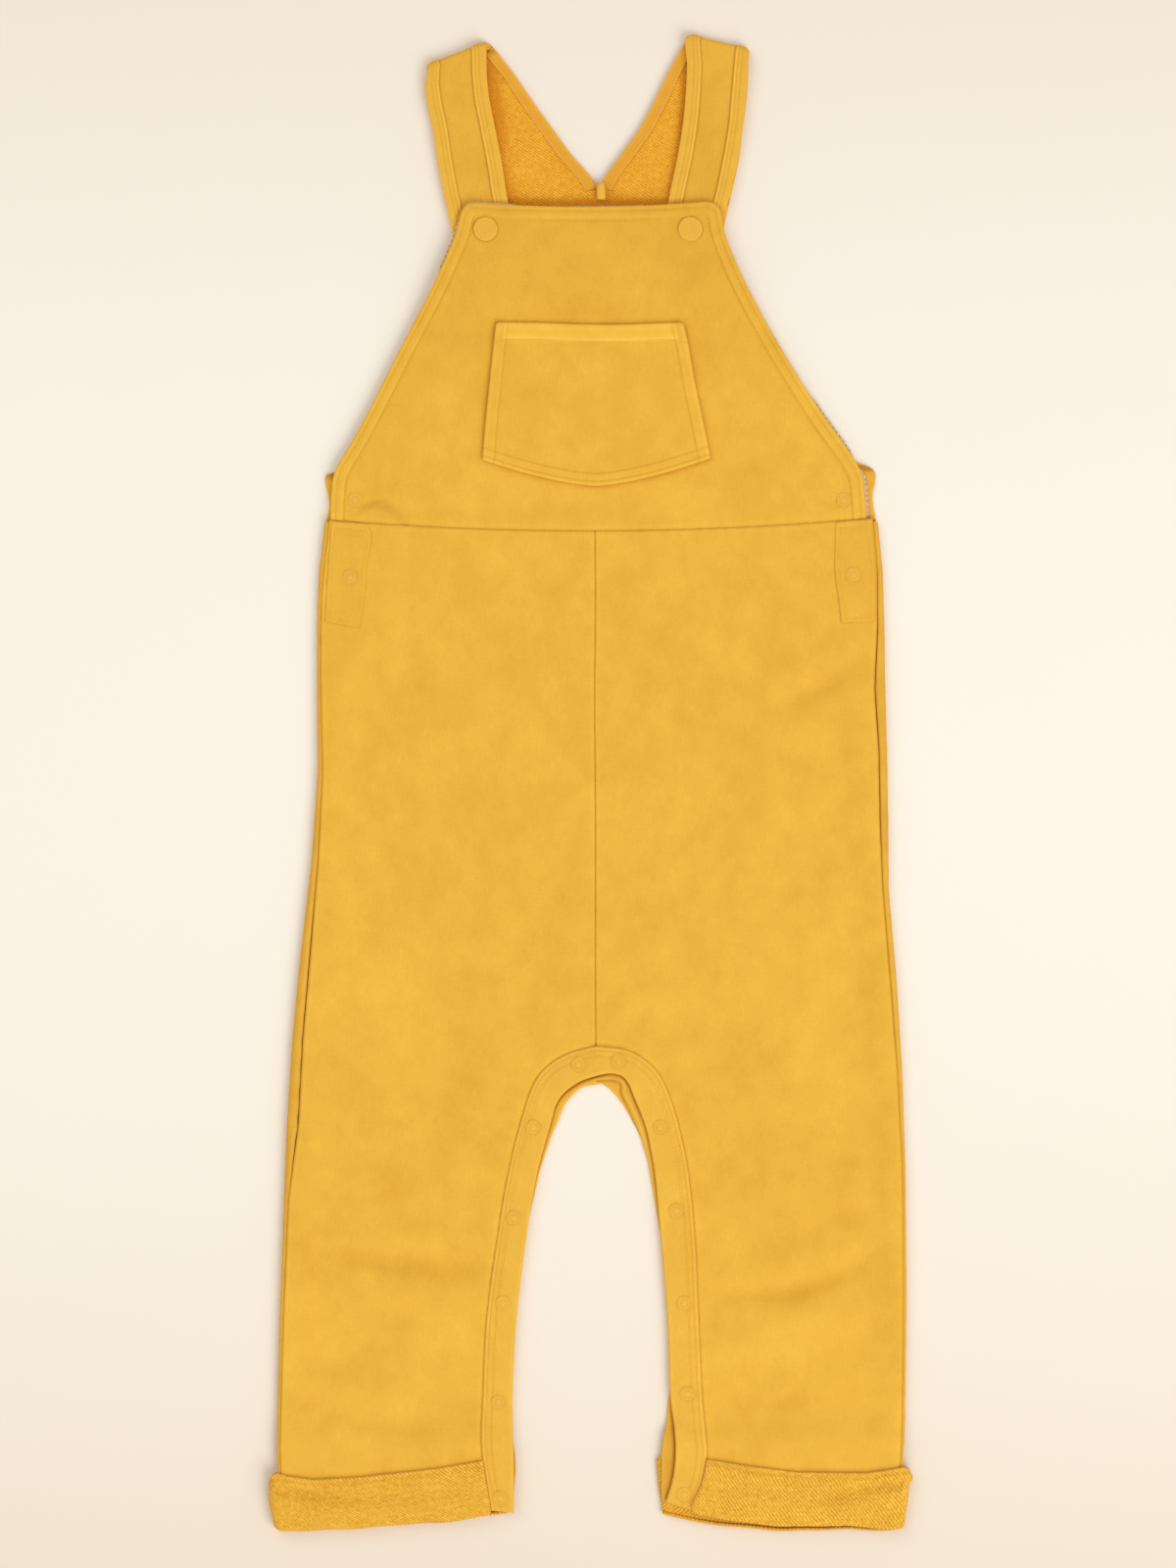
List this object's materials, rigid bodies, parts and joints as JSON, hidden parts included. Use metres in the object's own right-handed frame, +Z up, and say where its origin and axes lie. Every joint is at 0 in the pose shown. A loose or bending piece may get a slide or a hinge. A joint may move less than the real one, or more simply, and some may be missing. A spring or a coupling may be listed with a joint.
{
  "type": "kids dungarees",
  "caption": "Toddler dungarees in jersey laid flat: bib with pocket, snap straps over the shoulders, side tabs, snap inseam and turned-up cuffs.",
  "frame": {"origin": "centre of the laid garment's box on the surface it lies on", "axes": "+X across the garment, +Y from the leg ends to the straps, +Z up from the surface"},
  "size_m": [0.3015, 0.7025, 0.009],
  "materials": {
    "jersey": "mustard cotton jersey, soft and slightly brushed",
    "bands": "mustard cotton jersey, folded double and sewn",
    "terry": "looped inside of the jersey",
    "facing": "pale facing tape",
    "snap_coat": "mustard coated press snaps"
  },
  "bodies": {
    "root": {"back_bodice_left": "jersey", "back_bodice_right": "jersey", "bib_front": "jersey", "bib_pocket": "jersey", "front_leg_left": "jersey", "front_leg_right": "jersey", "back_leg_left": "jersey", "back_leg_right": "jersey", "strap_hem_left_outer": "bands", "strap_hem_left_inner": "bands", "strap_hem_right_outer": "bands", "strap_hem_right_inner": "bands", "neck_band_left": "bands", "neck_band_right": "bands", "side_tab_left": "bands", "side_tab_right": "bands", "inseam_band_front": "bands", "inseam_band_back": "bands", "cuff_left": "terry", "cuff_right": "terry", "bib_facing": "facing", "neck_loop": "facing", "snap_bib_left": "snap_coat", "snap_bib_right": "snap_coat", "snap_tab_left": "snap_coat", "snap_tab_right": "snap_coat", "snap_inseam_left_1": "snap_coat", "snap_inseam_left_2": "snap_coat", "snap_inseam_left_3": "snap_coat", "snap_inseam_left_4": "snap_coat", "snap_inseam_left_5": "snap_coat", "snap_inseam_left_6": "snap_coat", "snap_inseam_right_1": "snap_coat", "snap_inseam_right_2": "snap_coat", "snap_inseam_right_3": "snap_coat", "snap_inseam_right_4": "snap_coat", "snap_inseam_right_5": "snap_coat", "snap_inseam_right_6": "snap_coat", "strap_cap_left": "snap_coat", "strap_cap_right": "snap_coat"}
  },
  "joints": []
}
